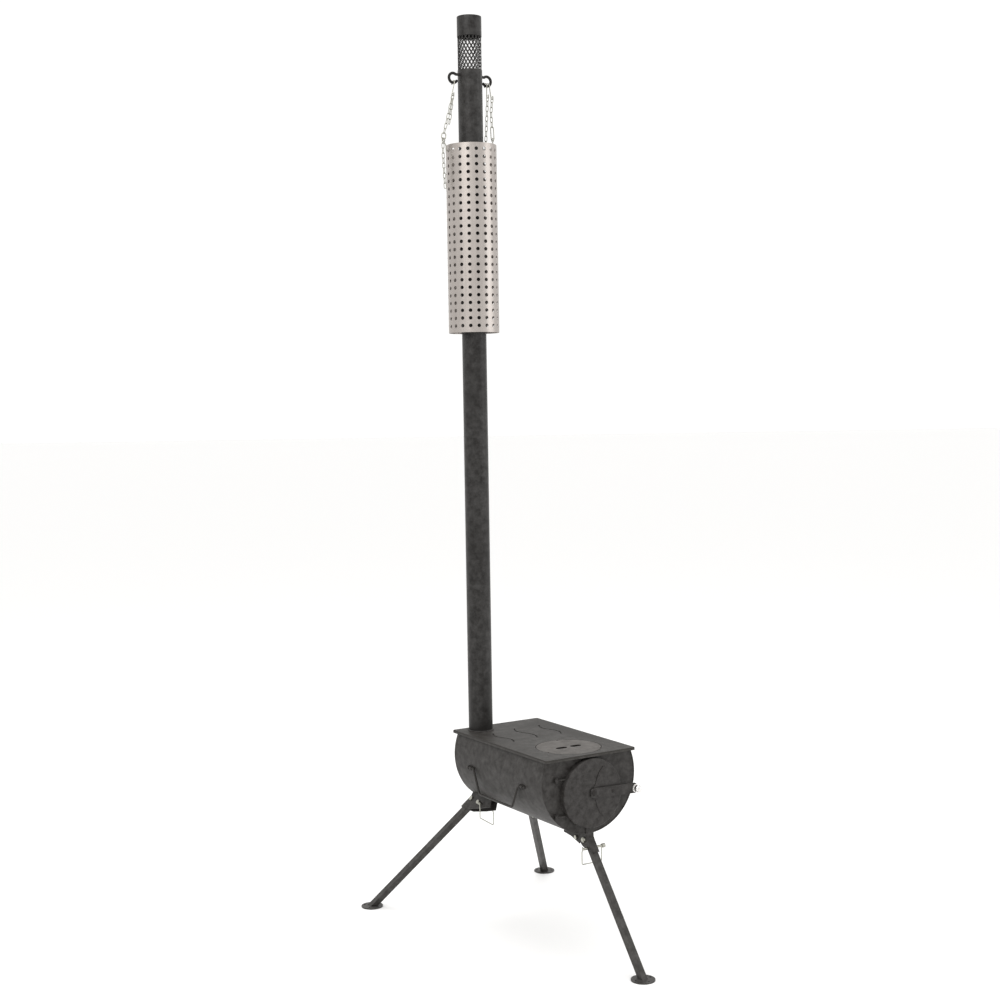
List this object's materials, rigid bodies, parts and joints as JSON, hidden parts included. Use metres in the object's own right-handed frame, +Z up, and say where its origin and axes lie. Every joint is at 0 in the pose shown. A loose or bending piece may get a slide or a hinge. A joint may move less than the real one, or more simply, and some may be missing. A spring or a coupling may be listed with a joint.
{
  "type": "portable camping stove",
  "caption": "Portable wood-burning drum stove on splayed folding legs, with a round front door, a flat cooking top with a lid, side carrying handles and a tall sectional flue.",
  "frame": {"origin": "on the floor under the middle of the cooking plate, which is also the middle of the footprint", "axes": "X to the right of the door's front, the door faces -Y, Z up along the flue"},
  "size_m": [0.5858, 0.855, 2.2235],
  "materials": {
    "drum_paint": "matt heat-resistant charcoal paint",
    "plate_paint": "matt heat-resistant charcoal paint",
    "lid_paint": "matt heat-resistant paint, a little lighter",
    "door_paint": "matt heat-resistant charcoal paint",
    "leg_paint": "matt black paint",
    "flue_paint": "matt black heat-resistant paint",
    "guard_steel": "thin stainless sheet, satin",
    "zinc": "bright zinc-plated steel",
    "bright_steel": "polished plated steel"
  },
  "bodies": {
    "stove": {"drum_shell": "drum_paint", "front_plate": "drum_paint", "rear_plate": "drum_paint", "top_plate": "plate_paint", "lid_seat_ring": "plate_paint", "door_hinge_lugs": "door_paint", "door_hinge_pins": "door_paint", "handle_lugs_left": "drum_paint", "handle_lugs_right": "drum_paint", "flue_collar": "flue_paint", "leg_bracket_front": "drum_paint", "pivot_bolt_front": "zinc", "leg_bracket_left": "drum_paint", "pivot_bolt_left": "zinc", "leg_bracket_right": "drum_paint", "pivot_bolt_right": "zinc", "cross_bolt_front": "zinc"},
    "lid": {"lid": "lid_paint", "lid_slot_cup": "lid_paint"},
    "door": {"door_pan": "door_paint", "door_hinge_eyes": "door_paint", "lever_pivot_rivet": "door_paint"},
    "door_lever": {"door_vane": "door_paint", "lever_strap": "door_paint", "lever_spacers": "door_paint", "lever_rivet": "door_paint", "lever_washer": "bright_steel", "lever_stud": "bright_steel", "lever_knob": "bright_steel"},
    "carry_handle_left": {"handle_left": "leg_paint"},
    "carry_handle_right": {"handle_right": "leg_paint"},
    "leg_front": {"leg_tube_front": "leg_paint", "foot_front": "leg_paint"},
    "pin_front": {"lock_pin_front": "zinc"},
    "bail_front": {"pin_bail_front": "zinc"},
    "leg_left": {"leg_tube_left": "leg_paint", "foot_left": "leg_paint"},
    "pin_left": {"lock_pin_left": "zinc"},
    "bail_left": {"pin_bail_left": "zinc"},
    "leg_right": {"leg_tube_right": "leg_paint", "foot_right": "leg_paint"},
    "pin_right": {"lock_pin_right": "zinc"},
    "bail_right": {"pin_bail_right": "zinc"},
    "flue_1": {"flue_section_1": "flue_paint"},
    "flue_2": {"flue_section_2": "flue_paint"},
    "flue_3": {"flue_section_3": "flue_paint"},
    "flue_4": {"flue_section_4": "flue_paint"},
    "arrestor": {"arrestor_tube": "flue_paint", "arrestor_mesh": "flue_paint", "arrestor_cap": "flue_paint", "ring_left": "flue_paint", "ring_right": "flue_paint"},
    "guard": {"heat_guard": "guard_steel", "chain_left": "zinc", "chain_right": "zinc", "s_hooks": "zinc"}
  },
  "joints": [
    {"name": "lid_lift", "type": "slide", "parent": "stove", "child": "lid", "axis": [0, 0, 1], "range_m": [0, 0.12]},
    {"name": "door_hinge", "type": "hinge", "parent": "stove", "child": "door", "pos_m": [-0.094, -0.205, 0.3815], "axis": [0, 0, 1], "range_deg": [-120, 0]},
    {"name": "lever_turn", "type": "hinge", "parent": "door", "child": "door_lever", "pos_m": [0, -0.2188, 0.385], "axis": [0, 1, 0], "range_deg": [-50, 0]},
    {"name": "handle_left_swing", "type": "hinge", "parent": "stove", "child": "carry_handle_left", "pos_m": [-0.1332, 0, 0.398], "axis": [0, 1, 0], "range_deg": [-7, 165]},
    {"name": "handle_right_swing", "type": "hinge", "parent": "stove", "child": "carry_handle_right", "pos_m": [0.1332, 0, 0.398], "axis": [0, -1, 0], "range_deg": [-7, 165]},
    {"name": "leg_front_fold", "type": "hinge", "parent": "stove", "child": "leg_front", "pos_m": [0, -0.193, 0.2713], "axis": [1, 0, 0], "range_deg": [0, 86]},
    {"name": "pin_front_pull", "type": "slide", "parent": "leg_front", "child": "pin_front", "axis": [1, 0, 0], "range_m": [0, 0.04]},
    {"name": "bail_front_swing", "type": "hinge", "parent": "pin_front", "child": "bail_front", "pos_m": [0.033, -0.20639, 0.25385], "axis": [0, -1, 0], "range_deg": [0, 180.5]},
    {"name": "leg_left_fold", "type": "hinge", "parent": "stove", "child": "leg_left", "pos_m": [-0.07855, 0.189, 0.29423], "axis": [-0.8429, 0, 0.538], "range_deg": [0, 72]},
    {"name": "pin_left_pull", "type": "slide", "parent": "stove", "child": "pin_left", "axis": [-0.8429, 0, 0.538], "range_m": [0, 0.04]},
    {"name": "bail_left_swing", "type": "hinge", "parent": "pin_left", "child": "bail_left", "pos_m": [-0.09645, 0.141, 0.30151], "axis": [0, 1, 0], "range_deg": [0, 180.5]},
    {"name": "leg_right_fold", "type": "hinge", "parent": "stove", "child": "leg_right", "pos_m": [0.07855, 0.189, 0.29423], "axis": [-0.8429, 0, -0.538], "range_deg": [0, 72]},
    {"name": "pin_right_pull", "type": "slide", "parent": "stove", "child": "pin_right", "axis": [0.8429, 0, 0.538], "range_m": [0, 0.04]},
    {"name": "bail_right_swing", "type": "hinge", "parent": "pin_right", "child": "bail_right", "pos_m": [0.09645, 0.141, 0.30151], "axis": [0, -1, 0], "range_deg": [0, 180.5]},
    {"name": "flue_1_lift", "type": "slide", "parent": "stove", "child": "flue_1", "axis": [0, 0, 1], "range_m": [0, 0.1]},
    {"name": "flue_2_lift", "type": "slide", "parent": "flue_1", "child": "flue_2", "axis": [0, 0, 1], "range_m": [0, 0.1]},
    {"name": "flue_3_lift", "type": "slide", "parent": "flue_2", "child": "flue_3", "axis": [0, 0, 1], "range_m": [0, 0.1]},
    {"name": "flue_4_lift", "type": "slide", "parent": "flue_3", "child": "flue_4", "axis": [0, 0, 1], "range_m": [0, 0.1]},
    {"name": "arrestor_lift", "type": "slide", "parent": "flue_4", "child": "arrestor", "axis": [0, 0, 1], "range_m": [0, 0.1]},
    {"name": "guard_sway", "type": "hinge", "parent": "arrestor", "child": "guard", "pos_m": [-0.068, 0.171, 2.0625], "axis": [1, 0, 0], "range_deg": [-2.5, 2.5]}
  ],
  "couplings": [
    {"joint": "bail_front_swing", "follows": "pin_front_pull", "rad_per_m": 78.54},
    {"joint": "bail_left_swing", "follows": "pin_left_pull", "rad_per_m": 78.54},
    {"joint": "bail_right_swing", "follows": "pin_right_pull", "rad_per_m": 78.54}
  ]
}
